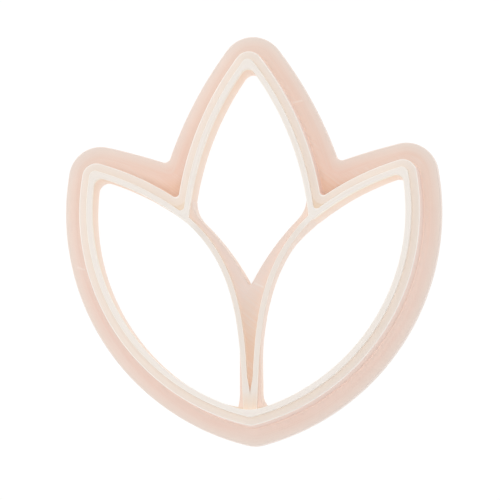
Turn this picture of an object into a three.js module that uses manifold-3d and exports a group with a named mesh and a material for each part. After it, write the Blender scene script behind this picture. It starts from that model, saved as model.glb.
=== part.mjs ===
// A printed dough cutter in the shape of a wheat ear: three pointed petals fan out from one bottom point.
// Millimetres. The cutter lies on its grip flange, with the cutting edge up (+Z) and the centre petal to +Y.
// Every outline is worked out from the inner face of the wall, which all three tiers share.
import * as THREE from 'three';
import { mergeVertices } from 'three/addons/utils/BufferGeometryUtils.js';
import Module from 'manifold-3d';

// Inner face of the wall, right half: corner points, and the height of each arc over its chord
const halfLength = 33.85;
const sideTipX = 30.0;
const sideTipY = 12.35;
const notchX = 11.8;
const notchY = 2.75;
const lowerBow = 10.9;
const upperBow = 1.05;
const centreBow = 2.45;
const insideTipRadius = 1.4;
const bladeBottomRadius = 9.0;
const shoulderBottomRadius = 16.0;

// Tiers of the wall, outwards from the inner face and upwards from the bench
const bladeThickness = 1.1;
const ledgeWidth = 1.6;
const flangeMargin = 3.5;
const flangeThickness = 2.0;
const shoulderHeight = 8.0;
const bladeHeight = 2.0;
const wallNotchRadius = 0.75;

// The flange is wider above the side tips and in the two notches, so its own tips and notches lie further up
const flangeTipLift = 0.4;
const flangeNotchShift = 0.8;
const flangeNotchLift = 4.5;
const flangeUpperBow = 0.35;
const flangeCentreBow = 1.5;
const flangeNotchRadius = 1.2;

// Dividers between the petals: each is a thin curved ridge from a notch down to the bottom point
const dividerThickness = 1.1;
const dividerDrop = 1.0;
const dividerHeadShift = -0.36;
const dividerHeadLift = 0.41;
const dividerBendX = 0.84;
const dividerBendY = -6.85;
const dividerStemX = 1.5;
const dividerStemY = -21.25;
const dividerSpacing = 0.4;

// Web that carries the dividers: a block as high as the ledge, whose forked upper edge curves into the wall
const webForkY = -9.65;
const webBendX = 9.55;
const webBendY = 3.7;
const webReachX = 11.6;
const webReachY = 7.15;
const webBow = 0.7;
const webFilletBow = 0.35;

// Gap that keeps the web and the dividers clear of the inner face of the wall
const seamClearance = 0.3;

// Fineness of the curves
const lowerSteps = 24;
const upperSteps = 8;
const centreSteps = 14;
const dividerSteps = 24;
const webSteps = 8;
const webFilletSteps = 5;
const cornerStepDegrees = 12;

// Levels
const flangeTop = flangeThickness;
const ledgeLevel = flangeTop + shoulderHeight;
const cuttingLevel = ledgeLevel + bladeHeight;
const dividerTop = cuttingLevel - dividerDrop;

// Materials
const wallColour = 0xf0e4d8;
const flangeColour = 0xebd5c9;
const printRoughness = 0.6;

const point = (x, y) => new THREE.Vector2(x, y);
const mirrored = (points) => points.map((p) => point(-p.x, p.y)).reverse();

// Points on the arc from start to end; a positive bow swells to the right of the way along it
function arcPoints(start, end, bow, steps) {
  const chord = end.clone().sub(start);
  const half = chord.length() / 2;
  const side = point(chord.y, -chord.x).normalize();
  const radius = (half * half + bow * bow) / (2 * bow);
  const centre = start.clone().add(end).multiplyScalar(0.5).addScaledVector(side, bow - radius);
  const from = start.clone().sub(centre);
  const sweep = 2 * Math.atan(half / (radius - bow));
  const origin = point(0, 0);
  const points = [start.clone()];
  for (let i = 1; i < steps; i += 1) {
    points.push(from.clone().rotateAround(origin, (sweep * i) / steps).add(centre));
  }
  points.push(end.clone());
  return points;
}

// The six edges of a petal outline, anticlockwise from the bottom point
function petalEdges(sideTip, notch, upperEdgeBow, centreEdgeBow) {
  const bottom = point(0, -halfLength);
  const top = point(0, halfLength);
  const right = [
    arcPoints(bottom, sideTip, lowerBow, lowerSteps),
    arcPoints(sideTip, notch, upperEdgeBow, upperSteps),
    arcPoints(notch, top, centreEdgeBow, centreSteps),
  ];
  const left = right.map(mirrored).reverse();
  return [...right, ...left];
}

// Unit normals to the right of the way along an edge, one for each of its points
function edgeNormals(edge) {
  return edge.map((_, i) => {
    const before = edge[Math.max(i - 1, 0)];
    const after = edge[Math.min(i + 1, edge.length - 1)];
    const along = after.clone().sub(before).normalize();
    return point(along.y, -along.x);
  });
}

const shiftEdge = (edge, distance) => {
  const normals = edgeNormals(edge);
  return edge.map((p, i) => p.clone().addScaledVector(normals[i], distance));
};

// Where two edges cross, counted in points along each, searched outwards from the corner they share
function crossing(first, second) {
  for (let j = 0; j < second.length - 1; j += 1) {
    for (let i = first.length - 2; i >= 0; i -= 1) {
      const u = first[i + 1].clone().sub(first[i]);
      const v = second[j + 1].clone().sub(second[j]);
      const w = second[j].clone().sub(first[i]);
      const turn = u.cross(v);
      const s = w.cross(v) / turn;
      const t = w.cross(u) / turn;
      if (s >= 0 && s <= 1 && t >= 0 && t <= 1) {
        return { onFirst: i + s, onSecond: j + t };
      }
    }
  }
  throw new Error('two neighbouring edges do not cross');
}

const pointAt = (edge, position) => {
  const i = Math.min(Math.floor(position), edge.length - 2);
  return edge[i].clone().lerp(edge[i + 1], position - i);
};

// Points round a corner from one direction to the other
function cornerArc(centre, from, to, radius) {
  const sweep = Math.atan2(from.cross(to), from.dot(to));
  const steps = Math.max(1, Math.ceil(Math.abs(THREE.MathUtils.radToDeg(sweep)) / cornerStepDegrees));
  const origin = point(0, 0);
  const points = [];
  for (let i = 0; i <= steps; i += 1) {
    const direction = from.clone().rotateAround(origin, (sweep * i) / steps);
    points.push(centre.clone().addScaledVector(direction, radius));
  }
  return points;
}

// Closed outline at a distance outside the edges: corners that open up are rounded about their point,
// and corners that close in are trimmed and filleted, the bottom one with a radius of its own
function offsetOutline(edges, distance, filletRadius, bottomRadius = filletRadius) {
  const count = edges.length;
  const shifted = edges.map((edge) => shiftEdge(edge, distance));
  const starts = new Array(count).fill(0);
  const ends = edges.map((edge) => edge.length - 1);
  const corners = edges.map((edge, i) => {
    const next = (i + 1) % count;
    const leaving = edgeNormals(edge).at(-1);
    const entering = edgeNormals(edges[next])[0];
    const bend = Math.sign(leaving.cross(entering));
    if (bend * distance > 0) {
      return cornerArc(edge.at(-1), leaving, entering, distance);
    }
    const radius = next === 0 ? bottomRadius : filletRadius;
    const inner = distance - bend * radius;
    const first = shiftEdge(edge, inner);
    const second = shiftEdge(edges[next], inner);
    const { onFirst, onSecond } = crossing(first, second);
    ends[i] = onFirst;
    starts[next] = onSecond;
    const centre = pointAt(first, onFirst);
    const tangentIn = pointAt(shifted[i], onFirst).sub(centre).multiplyScalar(bend);
    const tangentOut = pointAt(shifted[next], onSecond).sub(centre).multiplyScalar(bend);
    return cornerArc(centre, tangentIn.normalize(), tangentOut.normalize(), bend * radius);
  });
  return edges.flatMap((_, i) => {
    const kept = shifted[i].filter((p, k) => k > starts[i] && k < ends[i]);
    return [...kept, ...corners[i]];
  });
}

// Upright solid over an outline, with an optional opening through it
function prism(outline, bottom, top, opening) {
  const shape = new THREE.Shape(outline);
  if (opening) {
    shape.holes.push(new THREE.Path(opening));
  }
  const geometry = new THREE.ExtrudeGeometry(shape, { depth: top - bottom, bevelEnabled: false });
  geometry.translate(0, 0, bottom);
  return geometry;
}

const wasm = await Module();
wasm.setup();

function toSolid(geometry) {
  const bare = geometry.clone();
  bare.deleteAttribute('normal');
  bare.deleteAttribute('uv');
  const merged = mergeVertices(bare);
  const vertProperties = new Float32Array(merged.attributes.position.array);
  const triVerts = new Uint32Array(merged.index.array);
  return new wasm.Manifold(new wasm.Mesh({ numProp: 3, vertProperties, triVerts }));
}

function toGeometry(solid) {
  const { vertProperties, triVerts } = solid.getMesh();
  const geometry = new THREE.BufferGeometry();
  geometry.setAttribute('position', new THREE.BufferAttribute(vertProperties, 3));
  geometry.setIndex(new THREE.BufferAttribute(triVerts, 1));
  geometry.computeVertexNormals();
  return geometry;
}

// Outlines of the wall and of the flange
const wallEdges = petalEdges(point(sideTipX, sideTipY), point(notchX, notchY), upperBow, centreBow);
const flangeTip = point(sideTipX, sideTipY + flangeTipLift);
const flangeNotch = point(notchX + flangeNotchShift, notchY + flangeNotchLift);
const flangeEdges = petalEdges(flangeTip, flangeNotch, flangeUpperBow, flangeCentreBow);
const insideWall = (distance, bottomRadius) =>
  offsetOutline(wallEdges, distance, insideTipRadius, bottomRadius);
const bladeInside = insideWall(0, bladeBottomRadius);
const shoulderInside = insideWall(0, shoulderBottomRadius);
const bladeOutline = offsetOutline(wallEdges, bladeThickness, wallNotchRadius);
const shoulderOutline = offsetOutline(wallEdges, bladeThickness + ledgeWidth, wallNotchRadius);
const flangeOutline = offsetOutline(
  flangeEdges,
  bladeThickness + ledgeWidth + flangeMargin,
  flangeNotchRadius,
);
const clearOfBlade = insideWall(-seamClearance, bladeBottomRadius);
const clearOfShoulder = insideWall(-seamClearance, shoulderBottomRadius);

// Cuts an inside piece back to the seam clearance along the inner face of the wall
function cutBack(outline, bottom, top, limit) {
  const piece = toSolid(prism(outline, bottom, top));
  return toGeometry(piece.intersect(toSolid(prism(limit, bottom, top))));
}

// Middle line of the right divider, from its notch to the bottom point
const dividerLine = new THREE.CubicBezierCurve(
  point(notchX + dividerHeadShift, notchY + dividerHeadLift),
  point(dividerBendX, dividerBendY),
  point(dividerStemX, dividerStemY),
  point((dividerThickness + dividerSpacing) / 2, -halfLength),
).getPoints(dividerSteps);

const dividerFace = (side) => shiftEdge(dividerLine, (side * dividerThickness) / 2);

function dividerOutline() {
  const petalFace = dividerFace(-1);
  const forkFace = dividerFace(1);
  return [...forkFace, ...petalFace.reverse()];
}

function webOutline() {
  const bend = point(webBendX, webBendY);
  const fork = arcPoints(point(0, webForkY), bend, -webBow, webSteps);
  const fillet = arcPoints(bend, point(webReachX, webReachY), webFilletBow, webFilletSteps);
  const right = [...fork, ...fillet.slice(1), ...dividerFace(-1)];
  return [...right, ...mirrored(right.slice(1))];
}

const group = new THREE.Group();

function addPart(name, geometry, color) {
  const material = new THREE.MeshStandardMaterial({ color, roughness: printRoughness, metalness: 0 });
  const mesh = new THREE.Mesh(geometry, material);
  mesh.name = name;
  group.add(mesh);
}

const rightDivider = dividerOutline();
const leftDivider = mirrored(rightDivider);
addPart('grip_flange', prism(flangeOutline, 0, flangeTop, shoulderInside), flangeColour);
addPart('fork_web', cutBack(webOutline(), 0, ledgeLevel, clearOfShoulder), flangeColour);
addPart('shoulder_wall', prism(shoulderOutline, flangeTop, ledgeLevel, shoulderInside), wallColour);
addPart('cutting_blade', prism(bladeOutline, ledgeLevel, cuttingLevel, bladeInside), wallColour);
addPart('right_divider', cutBack(rightDivider, ledgeLevel, dividerTop, clearOfBlade), wallColour);
addPart('left_divider', cutBack(leftDivider, ledgeLevel, dividerTop, clearOfBlade), wallColour);

export default group;
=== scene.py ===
import math
from types import SimpleNamespace

import bmesh
import bpy
import numpy as np
from mathutils import Matrix, Vector


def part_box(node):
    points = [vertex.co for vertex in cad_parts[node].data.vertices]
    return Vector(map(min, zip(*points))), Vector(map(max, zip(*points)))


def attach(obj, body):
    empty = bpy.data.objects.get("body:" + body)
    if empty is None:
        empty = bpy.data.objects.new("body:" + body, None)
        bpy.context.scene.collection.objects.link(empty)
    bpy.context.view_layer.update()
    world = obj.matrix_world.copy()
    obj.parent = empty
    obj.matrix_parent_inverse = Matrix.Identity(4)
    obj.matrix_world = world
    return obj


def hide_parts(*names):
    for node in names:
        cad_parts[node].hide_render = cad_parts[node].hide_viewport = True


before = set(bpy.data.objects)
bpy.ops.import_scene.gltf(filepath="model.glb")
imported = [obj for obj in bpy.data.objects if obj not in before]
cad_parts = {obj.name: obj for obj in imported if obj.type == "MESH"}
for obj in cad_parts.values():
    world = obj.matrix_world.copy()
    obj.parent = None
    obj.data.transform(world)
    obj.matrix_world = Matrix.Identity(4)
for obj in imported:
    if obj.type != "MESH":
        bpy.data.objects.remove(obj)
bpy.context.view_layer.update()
scene = bpy.context.scene
MM = 0.001

# Inner face of the wall, right half
HALF_LENGTH = 33.85
SIDE_TIP = (30.0, 12.35)
NOTCH = (11.8, 2.75)
LOWER_BOW = 10.9
UPPER_BOW = 1.05
CENTRE_BOW = 2.45
INSIDE_TIP_RADIUS = 1.4
INSIDE_FOOT_RADIUS = 1.9
BLADE_BOTTOM_RADIUS = 9.0
SHOULDER_BOTTOM_RADIUS = 16.0

# Tiers of the wall, outwards from the inner face
BLADE_THICKNESS = 1.1
LEDGE_WIDTH = 1.6
WALL_THICKNESS = BLADE_THICKNESS + LEDGE_WIDTH
FLANGE_MARGIN = 3.5
WALL_NOTCH_RADIUS = 0.75
OUTSIDE_TIP_RADIUS = 0.05
OUTSIDE_BOTTOM_RADIUS = 1.5

# The flange's own side tip and notch, and its edges beside them
FLANGE_TIP = (SIDE_TIP[0], SIDE_TIP[1] + 0.4)
FLANGE_NOTCH = (NOTCH[0] + 0.8, NOTCH[1] + 4.5)
FLANGE_UPPER_BOW = 0.35
FLANGE_CENTRE_BOW = 1.5
FLANGE_TRIM = 0.03
FLANGE_NOTCH_RADIUS = 1.2

# Dividers
DIVIDER_THICKNESS = 1.1
DIVIDER_SPACING = 0.4
DIVIDER_HEAD = (NOTCH[0] - 0.36, NOTCH[1] + 0.41)
DIVIDER_BEND = (0.84, -6.85)
DIVIDER_STEM = (1.5, -21.25)
DIVIDER_MEET_START = -26.7
DIVIDER_MEET_END = -30.8
DIVIDER_JOINED_EDGE = 0.005
DIVIDER_EDGE_OPEN = 0.6
DIVIDER_HEAD_BURIED = 2.2
DIVIDER_TAIL_BURIED = 0.6
DIVIDER_RISE_LENGTH = 4.5
DIVIDER_RISE_GAP = 0.02
DIVIDER_FILLET = 0.2
DIVIDER_SINK = 0.05

# Web
WEB_FORK = (0.0, -9.65)
WEB_BEND = (9.55, 3.7)
WEB_REACH = (11.15, 7.75)
WEB_BURIED = (12.3, 5.6)
WEB_BOW = 0.7
WEB_FILLET_BOW = 0.42
WEB_DRAFT = 0.5
WEB_DRAFT_START = 1.0
WEB_DRAFT_END = 9.0
WEB_LEDGE = 0.55
WEB_LEDGE_START = -19.0
WEB_LEDGE_END = -31.0
WEB_FOOT_FLARE = 2.0
WEB_FOOT_FLARE_TOP = 0.6
WEB_FOOT_LENGTH = 5.0
WEB_LIFT = 0.03
WEB_SINK = 0.03
WEB_TUCKS = (0.15, 0.45)
WEB_TUCK_BACK = 0.1
WEB_FORK_ROUND = 0.22
WEB_FORK_CROWDING = 1.5

# Painted shade, warmer and darker in the deep parts: how far inside an edge it starts and is full, and where
# the dividers and the web have it
DEEP_SHADE_FROM = 3.0
DEEP_SHADE_FULL = 5.0
DIVIDER_SHADE_START = -26.0
DIVIDER_SHADE_END = -33.0
WEB_SHADE_PLACES = (-6.0, 6.0, 9.0, 19.0)
WEB_SHADE_DEPTHS = (1.0, 2.4, 2.8, 5.0)
WEB_SIDE_SHADE_CAP = 2.2

# Rounded edges that the nozzle leaves
SHOULDER_EDGE = 0.25
BLADE_EDGE = 0.14
DIVIDER_EDGE = 0.14
FLANGE_EDGE = 0.35
FLANGE_FOOT_EDGE = 0.15
WEB_EDGE = 0.25

# Levels of the tiers, from the frame
FLANGE_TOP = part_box("grip_flange")[1].z / MM
LEDGE_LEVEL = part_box("shoulder_wall")[1].z / MM
CUTTING_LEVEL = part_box("cutting_blade")[1].z / MM
DIVIDER_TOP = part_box("right_divider")[1].z / MM
WEB_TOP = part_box("fork_web")[1].z / MM

# Fineness of the curves
EDGE_SAMPLES = 241
EDGE_POINTS = 64
CORNER_POINTS = 15
ROUND_STEPS = 6
FILLET_STEPS = 4
DIVIDER_STATIONS = 160
ROUND_SUPPORT = 0.06
FLANGE_ROWS = 8
WEB_POINTS = 64
WEB_FILLET_POINTS = 24
SHARP_ANGLE = math.radians(40)

# Print marks
BEAD_WIDTH = 0.4
LAYER_HEIGHT = 0.2
LINE_DETAIL = 2.0
STREAK_LENGTH = 22.0
STREAK_SPAN = (0.45, 0.75)
STREAK_SHARE = 0.5
STROKE_WIDTH = 0.3
STROKE_SHARE = 0.5
RASTER_ANGLE = math.radians(38)

# Where the colours, the painted light and shade and the painted glow change
TOP_FACING = (0.6, 0.9)
OUTER_FROM = 0.5
# How far from the wall the painted light at its foot reaches.
FOOT_LIGHT_WIDTH = 1.8
UPPER_FROM = -5.0
UPPER_FULL = 8.0
UPPER_SHARE = 0.35
BORDER_FADE = (0.2, 2.0)
CLOUD_SCALE = 0.09
CLOUD_DETAIL = 3.0
CLOUD_SPAN = (0.35, 0.65)
CREASE_WIDTH = 0.35
CREASE_HEIGHT = 1.6

# Finish of the plastic
GRAIN_SCALE = 2.2
GRAIN_DETAIL = 4.0
GRAIN_SPAN = (0.3, 0.7)
ROUGHNESS = (0.44, 0.56)
WAVE_RELIEF = 0.12
GRAIN_RELIEF = 0.5
RELIEF_STRENGTH = 0.4
RELIEF_DEPTH = 0.00005

# Stage, in metres
FLOOR_SIZE = 4.0
FLOOR_CELLS = 8
FLOOR_GAP = 0.00005
FLOOR_GRAIN = 60.0
FLOOR_DETAIL = 3.0
FLOOR_DARK = (0.11, 0.11, 0.11, 1)
FLOOR_LIGHT = (0.13, 0.13, 0.13, 1)
FLOOR_ROUGHNESS = 0.9
FLOOR_GLOW = 0.92
TENT_SIDES = (1.05, 1.05, 1.05, 1)
TENT_TOP = (0.43, 0.43, 0.43, 1)
TENT_RISE = 0.9
TENT_SLOPE = 0.26
TENT_BRIGHT_SIDE = (-0.8, 0.6, 0.0)
KEY_FROM = (0.05, -0.02, 1.0)
KEY_STRENGTH = 0.85
KEY_ANGLE = math.radians(25)

# Camera: what it sees, in millimetres on the plane of the cutting edge, and from how many metres away
VIEW_CENTRE = (0.27, -2.44)
VIEW_WIDTH = 97.2
VIEW_LEAN = (0.10, -0.075)
VIEW_TURN = math.radians(0.348)
VIEW_DISTANCE = 4.0
VIEW_REACH = 100.0


# Outlines

def arc(start, end, bow, count=EDGE_SAMPLES):
    """Points on the arc from start to end; a positive bow swells to the right of the way along it."""
    start, end = np.array(start, float), np.array(end, float)
    chord = end - start
    half = np.linalg.norm(chord) / 2
    side = np.array([chord[1], -chord[0]]) / (2 * half)
    radius = (half ** 2 + bow ** 2) / (2 * bow)
    centre = (start + end) / 2 + side * (bow - radius)
    sweep = 2 * math.atan(half / (radius - bow))
    x, y = start - centre
    angles = np.linspace(0, sweep, count)
    cos, sin = np.cos(angles), np.sin(angles)
    return centre + np.stack([cos * x - sin * y, sin * x + cos * y], axis=1)


def mirrored(points):
    return (points * np.array([-1.0, 1.0]))[::-1]


def petal_edges(side_tip, notch, upper_bow, centre_bow):
    """The six edges of a petal outline, anticlockwise from the bottom point."""
    right = [
        arc((0, -HALF_LENGTH), side_tip, LOWER_BOW),
        arc(side_tip, notch, upper_bow),
        arc(notch, (0, HALF_LENGTH), centre_bow),
    ]
    return right + [mirrored(edge) for edge in reversed(right)]


def normals(edge):
    """Unit normals to the right of the way along an edge."""
    along = np.gradient(edge, axis=0)
    along /= np.linalg.norm(along, axis=1)[:, None]
    return np.stack([along[:, 1], -along[:, 0]], axis=1)


def shifted(edge, distance):
    return edge + distance * normals(edge)


def cross(a, b):
    return a[..., 0] * b[..., 1] - a[..., 1] * b[..., 0]


def crossing(first, second):
    """Where two edges cross nearest to the corner that they share, counted in points along each."""
    u = np.diff(first, axis=0)[:, None]
    v = np.diff(second, axis=0)[None]
    w = second[None, :-1] - first[:-1, None]
    turn = cross(u, v)
    s = cross(w, v) / turn
    t = cross(w, u) / turn
    hits = np.argwhere((s >= 0) & (s <= 1) & (t >= 0) & (t <= 1))
    i, j = hits[np.argmin(hits[:, 1])]
    return i + s[i, j], j + t[i, j]


def at(points, places):
    index = np.arange(len(points))
    return np.stack([np.interp(places, index, points[:, k]) for k in (0, 1)], axis=-1)


def corner(centre, leaving, entering, radius):
    """A fixed number of points round a corner, so that all outlines match point by point."""
    sweep = math.atan2(cross(leaving, entering), leaving @ entering)
    angles = np.linspace(0, sweep, CORNER_POINTS)
    cos, sin = np.cos(angles), np.sin(angles)
    x, y = leaving
    return centre + radius * np.stack([cos * x - sin * y, sin * x + cos * y], axis=1)


def outline(edges, distance, tip_radius, notch_radius, bottom_radius):
    """Closed outline at a distance outside the edges, with its tips and notches rounded."""
    count = len(edges)
    starts = np.zeros(count)
    ends = np.full(count, EDGE_SAMPLES - 1.0)
    corners = []
    for i, edge in enumerate(edges):
        after = edges[(i + 1) % count]
        bend = np.sign(cross(normals(edge)[-1], normals(after)[0]))
        tip = bottom_radius if i == count - 1 else tip_radius
        level = -tip if bend > 0 else distance + notch_radius
        first, second = shifted(edge, level), shifted(after, level)
        ends[i], starts[(i + 1) % count] = crossing(first, second)
        leaving = at(normals(edge), ends[i])
        entering = at(normals(after), starts[(i + 1) % count])
        corners.append(corner(at(first, ends[i]), leaving, entering, distance - level))
    points = []
    for i, edge in enumerate(edges):
        places = np.linspace(starts[i], ends[i], EDGE_POINTS + 2)[1:-1]
        points += [at(shifted(edge, distance), places), corners[i]]
    return np.concatenate(points)


WALL_EDGES = petal_edges(SIDE_TIP, NOTCH, UPPER_BOW, CENTRE_BOW)
FLANGE_EDGES = petal_edges(FLANGE_TIP, FLANGE_NOTCH, FLANGE_UPPER_BOW, FLANGE_CENTRE_BOW)


def inner_outline(distance, height, bottom_radius):
    """The inner face, whose tips are rounder near the foot than at the cutting edge."""
    tip_radius = np.interp(height, (0, CUTTING_LEVEL), (INSIDE_FOOT_RADIUS, INSIDE_TIP_RADIUS))
    return outline(WALL_EDGES, distance, tip_radius, WALL_NOTCH_RADIUS, bottom_radius)


def outer_outline(distance):
    return outline(WALL_EDGES, distance, OUTSIDE_TIP_RADIUS, WALL_NOTCH_RADIUS, OUTSIDE_BOTTOM_RADIUS)


def flange_outline(distance):
    return outline(FLANGE_EDGES, distance, OUTSIDE_TIP_RADIUS, FLANGE_NOTCH_RADIUS, OUTSIDE_TIP_RADIUS)


def rounded(radius):
    """Quarter round from a side to a top: how far in, how far down and how much painted rim highlight, at
    each step.

    A support step before and after it keeps the flat faces beside it flat."""
    yield 0, radius + ROUND_SUPPORT, 0
    for angle in np.linspace(0, math.pi / 2, ROUND_STEPS + 1):
        yield radius * (1 - math.cos(angle)), radius * (1 - math.sin(angle)), math.sin(2 * angle)
    yield radius + ROUND_SUPPORT, 0, 0


def nearest(points, loop):
    """Distance from each point to the nearest side of a closed outline."""
    start = loop[None]
    side = np.roll(loop, -1, axis=0)[None] - start
    to_point = points[:, None] - start
    place = np.clip((to_point * side).sum(-1) / (side ** 2).sum(-1), 0, 1)
    return np.linalg.norm(to_point - place[..., None] * side, axis=-1).min(axis=1)


def lengths(loop):
    """Length along an outline at each of its points."""
    steps = np.linalg.norm(np.diff(loop, axis=0), axis=1)
    return np.concatenate([[0], np.cumsum(steps)])


# Meshes

def add_piece(name, points, faces, marks, node):
    """A smooth mesh in the frame, which stands for its CAD node. The marks guide its material."""
    mesh = bpy.data.meshes.new(name)
    mesh.from_pydata((np.asarray(points) * MM).tolist(), [], faces)
    for label, values in marks.items():
        layer = mesh.attributes.new(label, "FLOAT", "POINT")
        layer.data.foreach_set("value", np.asarray(values, np.float32))
    shape = bmesh.new()
    shape.from_mesh(mesh)
    bmesh.ops.recalc_face_normals(shape, faces=shape.faces)
    shape.to_mesh(mesh)
    shape.free()
    mesh.shade_smooth()
    mesh.set_sharp_from_angle(angle=SHARP_ANGLE)
    piece = bpy.data.objects.new(name, mesh)
    scene.collection.objects.link(piece)
    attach(piece, "root")
    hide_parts(node)
    return piece


def band(count, rows, closed):
    """Quads between rows of points that run round; the rows close on themselves for a ring."""
    faces = []
    for k in range(rows if closed else rows - 1):
        below, above = k * count, (k + 1) % rows * count
        for i in range(count):
            j = (i + 1) % count
            faces.append((below + i, below + j, above + j, above + i))
    return faces


def ring_piece(name, rings, node):
    """A closed band through rings of matching outlines: (outline, height, rim, distance across)."""
    count = len(rings[0][0])
    points = [np.column_stack([flat, np.full(count, height)]) for flat, height, _, _ in rings]
    edge = rings[-1][0]
    marks = {
        "rim": np.repeat([rim for _, _, rim, _ in rings], count),
        "across": np.repeat([distance for _, _, _, distance in rings], count),
        "along": np.tile(lengths(edge), len(rings)),
        "inset": np.concatenate([nearest(flat, edge) for flat, _, _, _ in rings]),
    }
    return add_piece(name, np.concatenate(points), band(count, len(rings), True), marks, node)


def blade_piece():
    """The thin upper tier of the wall, with the cutting edge."""
    rings = [(inner_outline(0, LEDGE_LEVEL, BLADE_BOTTOM_RADIUS), LEDGE_LEVEL, 0, 0)]
    for inward, down, rim in rounded(BLADE_EDGE):
        height = CUTTING_LEVEL - down
        rings.append((inner_outline(inward, height, BLADE_BOTTOM_RADIUS), height, rim, inward))
    for inward, down, rim in reversed(list(rounded(BLADE_EDGE))):
        distance = BLADE_THICKNESS - inward
        rings.append((outer_outline(distance), CUTTING_LEVEL - down, rim, distance))
    rings.append((outer_outline(BLADE_THICKNESS), LEDGE_LEVEL, 0, BLADE_THICKNESS))
    return ring_piece("Cutting_blade", rings, "cutting_blade")


def shoulder_piece():
    """The thick lower tier of the wall, with the ledge on top."""
    rings = [
        (inner_outline(0, FLANGE_TOP, SHOULDER_BOTTOM_RADIUS), FLANGE_TOP, 0, 0),
        (inner_outline(0, LEDGE_LEVEL, SHOULDER_BOTTOM_RADIUS), LEDGE_LEVEL, 0, 0),
        (outer_outline(BLADE_THICKNESS), LEDGE_LEVEL, 0, BLADE_THICKNESS),
    ]
    for inward, down, rim in reversed(list(rounded(SHOULDER_EDGE))):
        distance = WALL_THICKNESS - inward
        rings.append((outer_outline(distance), LEDGE_LEVEL - down, rim, distance))
    rings.append((outer_outline(WALL_THICKNESS), FLANGE_TOP, 0, WALL_THICKNESS))
    return ring_piece("Shoulder_wall", rings, "shoulder_wall")


def flange_piece():
    """The flat plate under the wall and round it."""
    width = WALL_THICKNESS + FLANGE_MARGIN - FLANGE_TRIM
    rings = [
        (inner_outline(0, 0, SHOULDER_BOTTOM_RADIUS), 0, 0, 0),
        (inner_outline(0, FLANGE_TOP, SHOULDER_BOTTOM_RADIUS), FLANGE_TOP, 0, 0),
    ]
    foot = outer_outline(WALL_THICKNESS)
    brim = flange_outline(width - FLANGE_EDGE - ROUND_SUPPORT)
    for share in np.linspace(0, 1, FLANGE_ROWS)[:-1]:
        distance = WALL_THICKNESS + share * FLANGE_MARGIN
        rings.append((foot + share * (brim - foot), FLANGE_TOP, 0, distance))
    for inward, down, rim in reversed(list(rounded(FLANGE_EDGE))):
        distance = width - inward
        rings.append((flange_outline(distance), FLANGE_TOP - down, rim, distance))
    for inward, up, _ in rounded(FLANGE_FOOT_EDGE):
        distance = width - inward
        rings.append((flange_outline(distance), up, 0, distance))
    return ring_piece("Grip_flange", rings, "grip_flange")


def bezier(points, count):
    a, b, c, d = (np.array(p, float) for p in points)
    t = np.linspace(0, 1, count)[:, None]
    return (1 - t) ** 3 * a + 3 * t * (1 - t) ** 2 * b + 3 * t ** 2 * (1 - t) * c + t ** 3 * d


def unit(step):
    return step / np.linalg.norm(step)


def divider_line():
    """Middle line of the right divider, buried a little in the wall at both ends."""
    foot = ((DIVIDER_THICKNESS + DIVIDER_SPACING) / 2, -HALF_LENGTH)
    line = bezier((DIVIDER_HEAD, DIVIDER_BEND, DIVIDER_STEM, foot), DIVIDER_STATIONS)
    head = line[0] + DIVIDER_HEAD_BURIED * unit(line[0] - line[1])
    tail = line[-1] + DIVIDER_TAIL_BURIED * unit(line[-1] - line[-2])
    return np.vstack([head, line, tail])


def smoothstep(low, high, values):
    t = np.clip((values - low) / (high - low), 0, 1)
    return t * t * (3 - 2 * t)


def divider_section(fork, petal, edge, top, parted):
    """Points across a divider, with their rims: up the fillet in the fork, over the crest and down again."""
    over = unit(petal - fork)
    base = WEB_TOP - DIVIDER_SINK
    for angle in np.linspace(0, math.pi / 2, FILLET_STEPS + 1):
        out = DIVIDER_FILLET * (1 - math.sin(angle))
        up = DIVIDER_FILLET * (1 - math.cos(angle))
        yield fork - over * out * parted, base + up * parted, 0
    for inward, down, rim in rounded(edge):
        yield fork + over * inward, top - down, rim * edge / DIVIDER_EDGE
    for inward, down, rim in reversed(list(rounded(DIVIDER_EDGE))):
        yield petal - over * inward, top - down, rim
    yield petal, base, 0


def divider_piece(name, node, side):
    """A thin ridge that rises to the blade at its head; near the bottom the two ridges run together."""
    line = divider_line()
    ways = lengths(line)
    petal_face = shifted(line, -DIVIDER_THICKNESS / 2)
    fork_face = shifted(line, DIVIDER_THICKNESS / 2)
    parted = smoothstep(DIVIDER_MEET_END, DIVIDER_MEET_START, fork_face[:, 1])
    fork_face[:, 0] *= parted
    opened = smoothstep(0, DIVIDER_EDGE_OPEN, parted)
    edges = DIVIDER_JOINED_EDGE + (DIVIDER_EDGE - DIVIDER_JOINED_EDGE) * opened
    rise = 1 - smoothstep(DIVIDER_HEAD_BURIED, DIVIDER_HEAD_BURIED + DIVIDER_RISE_LENGTH, ways)
    crest = DIVIDER_TOP + rise * (CUTTING_LEVEL - DIVIDER_RISE_GAP - DIVIDER_TOP)
    # Painted shade, deepening towards the bottom where the two dividers run together.
    shade_depth = DEEP_SHADE_FULL * smoothstep(-DIVIDER_SHADE_START, -DIVIDER_SHADE_END, -petal_face[:, 1])
    points, rim, across, along, painted_shade = [], [], [], [], []
    for i, fork in enumerate(fork_face):
        for flat, height, bright in divider_section(fork, petal_face[i], edges[i], crest[i], parted[i]):
            points.append((side * flat[0], flat[1], height))
            rim.append(bright)
            across.append(np.linalg.norm(flat - fork))
            along.append(ways[i])
            painted_shade.append(shade_depth[i])
    count = len(points) // len(line)
    faces = band(count, len(line), False)
    faces.append(tuple(range(count)))
    faces.append(tuple(range(len(points) - count, len(points))))
    marks = {"rim": rim, "across": across, "along": along, "inset": painted_shade}
    return add_piece(name, points, faces, marks, node)


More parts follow.
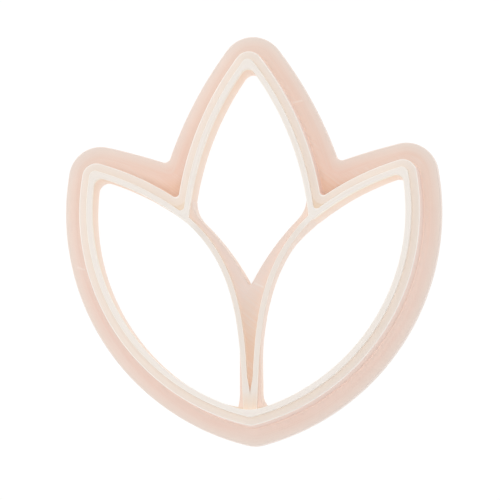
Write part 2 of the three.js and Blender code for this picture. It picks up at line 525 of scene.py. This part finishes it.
def fork_edge():
    """Right half of the web's forked edge, rounded at the bottom of the fork and where it meets the wall."""
    edge = arc(WEB_FORK, WEB_BEND, -WEB_BOW)
    edge = edge[edge[:, 0] > WEB_FORK_ROUND]
    edge = at(edge, np.linspace(0, 1, WEB_POINTS) ** WEB_FORK_CROWDING * (len(edge) - 1))
    edge[:, 0] = np.sqrt(np.maximum(edge[:, 0] ** 2 - edge[0, 0] ** 2, 0))
    fillet = arc(edge[-1], WEB_REACH, WEB_FILLET_BOW, WEB_FILLET_POINTS)
    return np.vstack([edge, fillet[1:]])


def web_outline(back, height, tuck):
    """Outline of the web, its fork edge set back and its sides tucked in under the dividers.

    Untucked sides stand out below the dividers near the bottom, with feet that flare beside the wall."""
    fork = fork_edge()
    tip = fork[0] - (0, back)
    fork = shifted(fork, back)
    fork[0] = tip
    line = divider_line()
    draft = np.interp(height, (0, WEB_TOP), (WEB_DRAFT, 0))
    draft = draft * smoothstep(WEB_DRAFT_START, WEB_DRAFT_END, lengths(line))
    inward = draft + tuck - DIVIDER_THICKNESS / 2
    petal_face = shifted(line, inward[:, None])
    if not tuck:
        foot = 1 - smoothstep(-HALF_LENGTH, -HALF_LENGTH + WEB_FOOT_LENGTH, petal_face[:, 1])
        flare = np.interp(height, (0, WEB_TOP), (WEB_FOOT_FLARE, WEB_FOOT_FLARE_TOP))
        ledge = smoothstep(-WEB_LEDGE_START, -WEB_LEDGE_END, -petal_face[:, 1])
        petal_face[:, 0] += WEB_LEDGE * ledge + flare * foot ** 2
    buried = (WEB_BURIED[0] - tuck, WEB_BURIED[1])
    right = np.vstack([fork, [buried], petal_face])
    return np.vstack([right, mirrored(right[1:])])


def web_piece():
    """A block whose fork edge is rounded on top, and whose colour deepens into painted shade between the
    dividers.
    """
    rows = [(0, WEB_LIFT, 0, 0)]
    top = WEB_TOP - WEB_SINK
    rows += [(back, top - down, rim, 0) for back, down, rim in rounded(WEB_EDGE)]
    rows += [(rows[-1][0] + WEB_TUCK_BACK * tuck, top, 0, tuck) for tuck in WEB_TUCKS]
    edge = web_outline(0, WEB_TOP, 0)
    count = len(edge)
    fork_points = WEB_POINTS + WEB_FILLET_POINTS - 1
    fork = np.zeros(count)
    fork[:fork_points] = 1
    fork[count - fork_points + 1:] = 1
    # Painted shade, deepening down between the dividers; away from the fork the sides are held paler.
    depth = np.interp(-edge[:, 1], WEB_SHADE_PLACES, WEB_SHADE_DEPTHS)
    capped_shade = np.where(fork > 0, depth, np.minimum(depth, WEB_SIDE_SHADE_CAP))
    points = [
        np.column_stack([web_outline(back, height, tuck), np.full(count, height)])
        for back, height, _, tuck in rows
    ]
    faces = band(count, len(rows), False)
    faces.append(tuple(range(count)))
    faces.append(tuple(range((len(rows) - 1) * count, len(rows) * count)))
    marks = {
        "rim": np.concatenate([rim * fork for _, _, rim, _ in rows]),
        "across": np.repeat([back for back, _, _, _ in rows], count),
        "along": np.tile(lengths(edge), len(rows)),
        "inset": np.concatenate([np.tile(capped_shade, len(rows) - 1), depth]),
    }
    return add_piece("Fork_web", np.concatenate(points), faces, marks, "fork_web")


# Materials

def add_node(tree, kind, settings=None, **inputs):
    """A shader node, with its inputs set to values or linked to other nodes' outputs."""
    made = tree.nodes.new("ShaderNode" + kind)
    for key, value in (settings or {}).items():
        setattr(made, key, value)
    for key, value in inputs.items():
        connect(tree, value, made.inputs[key.replace("_", " ")])
    return made


def connect(tree, value, socket):
    if isinstance(value, bpy.types.NodeSocket):
        tree.links.new(value, socket)
    else:
        socket.default_value = value


def maths(tree, operation, *values):
    made = add_node(tree, "Math", {"operation": operation})
    for value, socket in zip(values, made.inputs):
        connect(tree, value, socket)
    return made.outputs[0]


def weighted(tree, x, y, x_share, y_share):
    """The sum of x and y, each times its share."""
    return maths(tree, "MULTIPLY_ADD", y, y_share, maths(tree, "MULTIPLY", x, x_share))


def span(tree, value, low, high, to_low=0.0, to_high=1.0):
    """A value's place between low and high, spread over another range."""
    ends = {"From_Min": low, "From_Max": high, "To_Min": to_low, "To_Max": to_high}
    return add_node(tree, "MapRange", Value=value, **ends).outputs[0]


def fade(tree, value, low, high):
    """One up to low, and nothing from high on."""
    return span(tree, value, low, high, 1.0, 0.0)


def mix(tree, share, first, second):
    """A number between two others."""
    made = add_node(tree, "Mix", {"data_type": "FLOAT"})
    connect(tree, share, made.inputs[0])
    connect(tree, first, made.inputs[2])
    connect(tree, second, made.inputs[3])
    return made.outputs[0]


def blend(tree, share, first, second):
    """A colour between two others."""
    made = add_node(tree, "Mix", {"data_type": "RGBA"})
    connect(tree, share, made.inputs[0])
    connect(tree, first, made.inputs[6])
    connect(tree, second, made.inputs[7])
    return made.outputs[2]


def mark(tree, label):
    return add_node(tree, "Attribute", {"attribute_name": label}).outputs["Fac"]


def noise(tree, place, scale, detail):
    return add_node(tree, "TexNoise", Vector=place, Scale=scale, Detail=detail).outputs["Fac"]


def vector(tree, *values):
    made = add_node(tree, "CombineXYZ")
    for value, socket in zip(values, made.inputs):
        connect(tree, value, socket)
    return made.outputs[0]


def guides(tree):
    """What a material goes by: the place in millimetres, the mesh's marks, its tops and its outer sides."""
    coordinates = add_node(tree, "TexCoord").outputs
    scale = add_node(tree, "VectorMath", {"operation": "SCALE"}, Vector=coordinates["Object"], Scale=1 / MM)
    place = scale.outputs[0]
    x, y, z = add_node(tree, "SeparateXYZ", Vector=place).outputs
    facing = add_node(tree, "SeparateXYZ", Vector=coordinates["Normal"]).outputs[2]
    top = span(tree, maths(tree, "ABSOLUTE", facing), *TOP_FACING)
    marks = {label: mark(tree, label) for label in ("across", "along", "inset", "rim")}
    outer = span(tree, marks["across"], OUTER_FROM, OUTER_FROM + BEAD_WIDTH)
    return SimpleNamespace(place=place, x=x, y=y, z=z, top=top, outer=outer, **marks)


def print_waves(tree, on):
    """Fine waves for the relief: beads on the tops and layers on the sides."""
    beads = maths(tree, "SINE", maths(tree, "MULTIPLY", on.across, 2 * math.pi / BEAD_WIDTH))
    layers = maths(tree, "SINE", maths(tree, "MULTIPLY", on.z, 2 * math.pi / LAYER_HEIGHT))
    return mix(tree, on.top, layers, beads)


def print_lines(tree, look, on):
    """Long streaks along the beads and layers, with slanting fill lines inside the border of a wide top."""
    streak_place = vector(
        tree,
        maths(tree, "DIVIDE", on.across, BEAD_WIDTH),
        maths(tree, "DIVIDE", on.along, STREAK_LENGTH),
        maths(tree, "DIVIDE", on.z, 2 * LAYER_HEIGHT),
    )
    streak = noise(tree, streak_place, 1.0, LINE_DETAIL)
    if "border" not in look:
        return streak
    cos, sin = math.cos(RASTER_ANGLE), math.sin(RASTER_ANGLE)
    raster_place = vector(
        tree,
        weighted(tree, on.x, on.y, sin / BEAD_WIDTH, cos / BEAD_WIDTH),
        weighted(tree, on.x, on.y, cos / STREAK_LENGTH, -sin / STREAK_LENGTH),
        0.0,
    )
    raster = noise(tree, raster_place, 1.0, LINE_DETAIL)
    inside = span(tree, on.inset, look["border"], look["border"] + BEAD_WIDTH)
    return mix(tree, maths(tree, "MULTIPLY", on.top, inside), streak, raster)


def stroke(tree, on, start, end):
    """A short pale mark that the nozzle left on the top as it crossed from start to end."""
    length = math.dist(start, end)
    cos, sin = (end[0] - start[0]) / length, (end[1] - start[1]) / length
    x = maths(tree, "SUBTRACT", on.x, (start[0] + end[0]) / 2)
    y = maths(tree, "SUBTRACT", on.y, (start[1] + end[1]) / 2)
    ahead = maths(tree, "ABSOLUTE", weighted(tree, x, y, cos, sin))
    beside = maths(tree, "ABSOLUTE", weighted(tree, x, y, -sin, cos))
    near = span(tree, beside, 0.0, STROKE_WIDTH, STROKE_SHARE, 0.0)
    within = fade(tree, ahead, length / 2 - STROKE_WIDTH, length / 2)
    return maths(tree, "MULTIPLY", near, within)


def top_colour(tree, look, on):
    """Clouds, then what the look has of a ledge in painted shade, a foot in painted light, an upper part and
    a border in painted light, then painted shade in the deep parts.
    """
    cloud = noise(tree, on.place, CLOUD_SCALE, CLOUD_DETAIL)
    colour = blend(tree, span(tree, cloud, *CLOUD_SPAN), look["body"], look["cloud"])
    # Painted shade on the ledge: darker at the foot of the blade, lighter towards its open edge.
    if "ledge" in look:
        outwards = span(tree, on.across, BLADE_THICKNESS, WALL_THICKNESS)
        ledge = blend(tree, outwards, look["ledge"], look["lit_ledge_edge"])
        colour = blend(tree, span(tree, on.z, CUTTING_LEVEL, LEDGE_LEVEL), colour, ledge)
    # Painted light on the flange beside the wall's foot, lifting the shade there.
    if "foot" in look:
        foot = fade(tree, on.across, WALL_THICKNESS, WALL_THICKNESS + FOOT_LIGHT_WIDTH)
        colour = blend(tree, foot, colour, look["foot"])
    if "upper" in look:
        upper = span(tree, on.y, UPPER_FROM, UPPER_FULL, 0.0, UPPER_SHARE)
        colour = blend(tree, upper, colour, look["upper"])
    # Painted light: the flange is paler towards its open outer edge, away from the walls' shade and warm
    # bounce.
    if "border" in look:
        colour = blend(tree, fade(tree, on.inset, *BORDER_FADE), colour, look["lit_border_tint"])
    # Painted shade in the deep parts: notches, the foot of the blade and the creases.
    return blend(tree, span(tree, on.inset, *look["deep_shade_span"]), colour, look["deep_shade"])


def side_colour(tree, look, on):
    # Painted light and shade on the sides: lit and shaded copies of the plastic, by height and by inner and
    # outer side.
    side = look["side"]
    if "side_foot" in look:
        side = blend(tree, span(tree, on.z, LEDGE_LEVEL, FLANGE_TOP), side, look["side_foot"])
    return blend(tree, on.outer, side, look["outer_side"])


def base_colour(tree, look, on, lines):
    """Tops and sides in painted light and shade, with streaks and strokes of the print and painted
    highlights on the rims.
    """
    # Tops and sides take lit and shaded copies of one plastic's colour.
    colour = blend(tree, on.top, side_colour(tree, look, on), top_colour(tree, look, on))
    streaks = span(tree, lines, *STREAK_SPAN, 0.0, STREAK_SHARE)
    colour = blend(tree, streaks, colour, look["streak"])
    for start, end in look["strokes"]:
        colour = blend(tree, stroke(tree, on, start, end), colour, look["stroke"])
    # Painted highlight on the rounded rims.
    return blend(tree, maths(tree, "MULTIPLY", on.rim, look["rim_highlight_share"]), colour, look["rim"])


def glow(tree, look, on):
    """Light through thin edges, on the inner sides of the wall and in the creases: its tint and strength."""
    on_side = fade(tree, on.top, 0.0, 1.0)
    inner_side = maths(tree, "MULTIPLY", on_side, fade(tree, on.outer, 0.0, 1.0))
    outer_side = maths(tree, "MULTIPLY", on_side, on.outer)
    crease_from, crease_level = look["crease_from"], look["crease_level"]
    inwards = fade(tree, on.across, crease_from, crease_from + CREASE_WIDTH)
    downwards = fade(tree, on.z, crease_level, crease_level + CREASE_HEIGHT)
    top_crease = maths(tree, "MULTIPLY", on.top, inwards)
    side_crease = maths(tree, "MULTIPLY", outer_side, downwards)
    tint = blend(tree, inner_side, look["rim"], look["inner_tint"])
    tint = blend(tree, maths(tree, "MAXIMUM", top_crease, side_crease), tint, look["crease_tint"])
    sources = {"rim": on.rim, "inner": inner_side, "top_crease": top_crease, "side_crease": side_crease}
    strength = 0.0
    for label, amount in look["glow"].items():
        strength = maths(tree, "MULTIPLY_ADD", sources[label], amount, strength)
    return tint, strength


def plastic(name, look):
    """Printed plastic: beads along the outline on top, layers on the sides, painted highlights on the rims,
    faint clouds, and where the look has it a painted glow.
    """
    material = bpy.data.materials.new(name)
    material.use_nodes = True
    tree = material.node_tree
    shader = tree.nodes["Principled BSDF"].inputs
    on = guides(tree)
    lines = print_lines(tree, look, on)
    grain = noise(tree, on.place, GRAIN_SCALE, GRAIN_DETAIL)
    connect(tree, base_colour(tree, look, on, lines), shader["Base Color"])
    if "glow" in look:
        tint, strength = glow(tree, look, on)
        connect(tree, tint, shader["Emission Color"])
        connect(tree, strength, shader["Emission Strength"])
    connect(tree, span(tree, grain, *GRAIN_SPAN, *ROUGHNESS), shader["Roughness"])
    height = maths(tree, "MULTIPLY_ADD", print_waves(tree, on), WAVE_RELIEF, lines)
    height = maths(tree, "MULTIPLY_ADD", grain, GRAIN_RELIEF, height)
    bump = add_node(tree, "Bump", Strength=RELIEF_STRENGTH, Distance=RELIEF_DEPTH, Height=height)
    connect(tree, bump.outputs[0], shader["Normal"])
    return material


# Looks: the dividers, the blade and the shoulder in paler colours, the flange and the web in pinker ones.
# Their side, ledge, foot, border, deep and rim colours are painted light and shade
DIVIDER_LOOK = {
    "body": (0.985, 0.925, 0.865, 1),
    "cloud": (0.985, 0.91, 0.84, 1),
    # Painted shade on the ledge, lighter towards its open edge.
    "ledge": (0.90, 0.79, 0.70, 1),
    "lit_ledge_edge": (0.955, 0.86, 0.785, 1),
    # Painted shade where the dividers run together.
    "deep_shade": (0.95, 0.785, 0.645, 1),
    "deep_shade_span": (DEEP_SHADE_FROM, DEEP_SHADE_FULL),
    # Painted light and shade on the sides.
    "side": (1.0, 0.84, 0.71, 1),
    "outer_side": (1.0, 0.865, 0.76, 1),
    "streak": (0.93, 0.84, 0.75, 1),
    "strokes": (),
    # Painted highlight on the rounded rims.
    "rim": (0.985, 0.945, 0.89, 1),
    "rim_highlight_share": 0.8,
    "inner_tint": (1.0, 0.5, 0.2, 1),
    "crease_from": BLADE_THICKNESS,
    "crease_level": FLANGE_TOP,
    "crease_tint": (1.0, 0.78, 0.66, 1),
    "glow": {"rim": 0.05, "inner": 0.03},
}
BLADE_LOOK = dict(
    DIVIDER_LOOK,
    # Painted light on the blade's sides, standing in for light through the thin wall.
    side=(1.0, 0.945, 0.88, 1),
    outer_side=(1.0, 0.93, 0.86, 1),
    inner_tint=(1.0, 0.78, 0.58, 1),
    crease_level=LEDGE_LEVEL,
    glow={"rim": 0.05, "inner": 0.08, "side_crease": 0.05},
)
SHOULDER_LOOK = dict(
    DIVIDER_LOOK,
    # Painted shade on the ledge, lighter towards its open edge.
    ledge=(0.875, 0.765, 0.675, 1),
    lit_ledge_edge=(0.94, 0.84, 0.765, 1),
    # Painted shade on the ledge at the foot of the blade.
    deep_shade=(0.82, 0.68, 0.54, 1),
    deep_shade_span=(1.65, 2.0),
    # Painted light and shade on the sides; the outer side is painted pink, as the flange's bounce tints it
    # in shade.
    side_foot=(1.0, 0.855, 0.755, 1),
    outer_side=(0.97, 0.755, 0.67, 1),
    glow={"rim": 0.065, "inner": 0.03, "top_crease": 0.03, "side_crease": 0.075},
)
PINK_LOOK = {
    "border": 2.2,
    # Painted light at the open outer edge.
    "lit_border_tint": (0.88, 0.77, 0.695, 1),
    "deep_shade_span": (DEEP_SHADE_FROM, DEEP_SHADE_FULL),
    # Painted light and shade on the sides.
    "side": (1.0, 0.86, 0.77, 1),
    "outer_side": (0.995, 0.87, 0.79, 1),
    "streak": (0.885, 0.765, 0.695, 1),
    "stroke": (0.96, 0.89, 0.83, 1),
    # Painted highlight on the rounded rims.
    "rim": (0.95, 0.83, 0.76, 1),
    "rim_highlight_share": 0.3,
}
FLANGE_LOOK = dict(
    PINK_LOOK,
    body=(0.865, 0.67, 0.585, 1),
    cloud=(0.865, 0.705, 0.625, 1),
    # Painted light beside the wall's foot.
    foot=(0.965, 0.815, 0.735, 1),
    upper=(0.87, 0.67, 0.54, 1),
    # Painted shade in the notches and beside the wall.
    deep_shade=(0.825, 0.605, 0.465, 1),
    strokes=(((7.5, 26.9), (9.9, 27.45)), ((-34.75, -4.55), (-32.9, -5.2))),
    inner_tint=(1.0, 0.5, 0.2, 1),
    crease_from=WALL_THICKNESS,
    crease_level=FLANGE_TOP,
    crease_tint=(1.0, 0.7, 0.58, 1),
    glow={"inner": 0.03, "top_crease": 0.085},
)
WEB_LOOK = dict(
    PINK_LOOK,
    body=(0.92, 0.74, 0.65, 1),
    cloud=(0.92, 0.75, 0.67, 1),
    # Painted shade between the dividers.
    deep_shade=(0.87, 0.65, 0.505, 1),
    strokes=(((0.6, -8.6), (2.85, -9.65)),),
)


# Stage

def floor_paper():
    """White paper that glows softly."""
    material = bpy.data.materials.new("Floor_paper")
    material.use_nodes = True
    tree = material.node_tree
    shader = tree.nodes["Principled BSDF"].inputs
    coordinates = add_node(tree, "TexCoord").outputs
    shade = noise(tree, coordinates["Object"], FLOOR_GRAIN, FLOOR_DETAIL)
    connect(tree, blend(tree, shade, FLOOR_DARK, FLOOR_LIGHT), shader["Base Color"])
    shader["Roughness"].default_value = FLOOR_ROUGHNESS
    shader["Specular IOR Level"].default_value = 0.0
    shader["Emission Color"].default_value = (1, 1, 1, 1)
    shader["Emission Strength"].default_value = FLOOR_GLOW
    return material


def floor_piece():
    """A wide floor just below the part."""
    mesh = bpy.data.meshes.new("Floor")
    shape = bmesh.new()
    bmesh.ops.create_grid(shape, x_segments=FLOOR_CELLS, y_segments=FLOOR_CELLS, size=FLOOR_SIZE / 2)
    shape.to_mesh(mesh)
    shape.free()
    floor = bpy.data.objects.new("Floor", mesh)
    floor.location.z = -FLOOR_GAP
    scene.collection.objects.link(floor)
    mesh.materials.append(floor_paper())


def sky():
    """A white tent of light, brighter near the horizon than overhead and brightest on one side."""
    world = bpy.data.worlds.new("Tent")
    world.use_nodes = True
    tree = world.node_tree
    background = tree.nodes["Background"].inputs
    direction = add_node(tree, "TexCoord").outputs["Generated"]
    height = add_node(tree, "SeparateXYZ", Vector=direction).outputs[2]
    colour = blend(tree, span(tree, height, 0.0, TENT_RISE), TENT_SIDES, TENT_TOP)
    connect(tree, colour, background["Color"])
    side = add_node(tree, "VectorMath", {"operation": "DOT_PRODUCT"}, Vector=direction)
    side.inputs[1].default_value = TENT_BRIGHT_SIDE
    strength = maths(tree, "MULTIPLY_ADD", side.outputs["Value"], TENT_SLOPE, 1.0)
    connect(tree, strength, background["Strength"])
    scene.world = world


def key_light():
    """A broad lamp high above."""
    light = bpy.data.lights.new("Key", "SUN")
    light.energy = KEY_STRENGTH
    light.angle = KEY_ANGLE
    made = bpy.data.objects.new("Key", light)
    made.location = Vector(KEY_FROM)
    made.rotation_euler = Vector(KEY_FROM).to_track_quat("Z", "Y").to_euler()
    scene.collection.objects.link(made)


def camera():
    """A long lens almost straight above, leaning a little to the right and to the bottom."""
    target = Vector((VIEW_CENTRE[0], VIEW_CENTRE[1], CUTTING_LEVEL)) * MM
    back = Vector((VIEW_LEAN[0], VIEW_LEAN[1], 1)).normalized()
    up = Vector((math.sin(VIEW_TURN), math.cos(VIEW_TURN), 0))
    right = up.cross(back).normalized()
    upright = back.cross(right)
    data = bpy.data.cameras.new("Camera")
    data.lens = data.sensor_width * VIEW_DISTANCE / (VIEW_WIDTH * MM)
    data.clip_end = VIEW_REACH
    made = bpy.data.objects.new("Camera", data)
    turn = Matrix((right, upright, back)).transposed().to_4x4()
    made.matrix_world = Matrix.Translation(target + back * VIEW_DISTANCE) @ turn
    scene.collection.objects.link(made)
    scene.camera = made


divider_plastic = plastic("Wall_plastic", DIVIDER_LOOK)
for piece, material in (
    (blade_piece(), plastic("Blade_plastic", BLADE_LOOK)),
    (shoulder_piece(), plastic("Shoulder_plastic", SHOULDER_LOOK)),
    (divider_piece("Right_divider", "right_divider", 1), divider_plastic),
    (divider_piece("Left_divider", "left_divider", -1), divider_plastic),
    (flange_piece(), plastic("Flange_plastic", FLANGE_LOOK)),
    (web_piece(), plastic("Web_plastic", WEB_LOOK)),
):
    piece.data.materials.append(material)

floor_piece()
sky()
key_light()
camera()
scene.view_settings.view_transform = "Standard"
